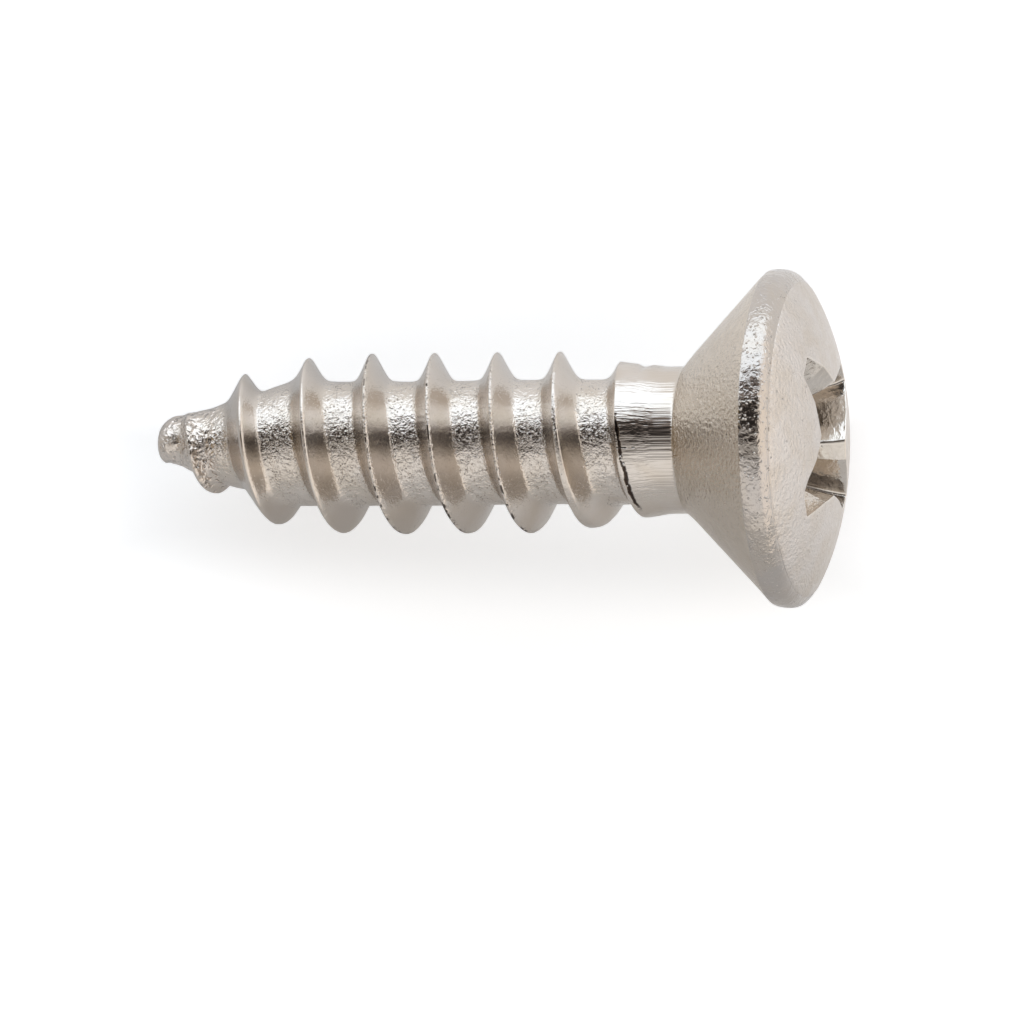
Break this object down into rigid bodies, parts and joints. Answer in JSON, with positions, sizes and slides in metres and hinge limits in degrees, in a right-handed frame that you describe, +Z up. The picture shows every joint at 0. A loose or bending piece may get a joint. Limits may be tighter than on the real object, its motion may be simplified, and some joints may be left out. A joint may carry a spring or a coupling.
{
  "type": "raised countersunk tapping screw",
  "caption": "Short tapping screw with a raised countersunk head, a cross recess, a coarse thread and a blunt tapered nose; it fastens thin sheet or soft material.",
  "frame": {"origin": "middle of the bounding box, on the table that the screw lies on", "axes": "+Z up from the table; the screw's axis lies over +X with the head at +X, leaning up from the table by 9.64 degrees because it rests on its head rim and its thread; +Y is square to the axis"},
  "size_m": [0.0138, 0.0066, 0.0066],
  "materials": {
    "nickel_plating": "warm grey nickel plating over steel, satin on the head and bright on the thread"
  },
  "bodies": {
    "root": {"screw": "nickel_plating"}
  },
  "joints": []
}
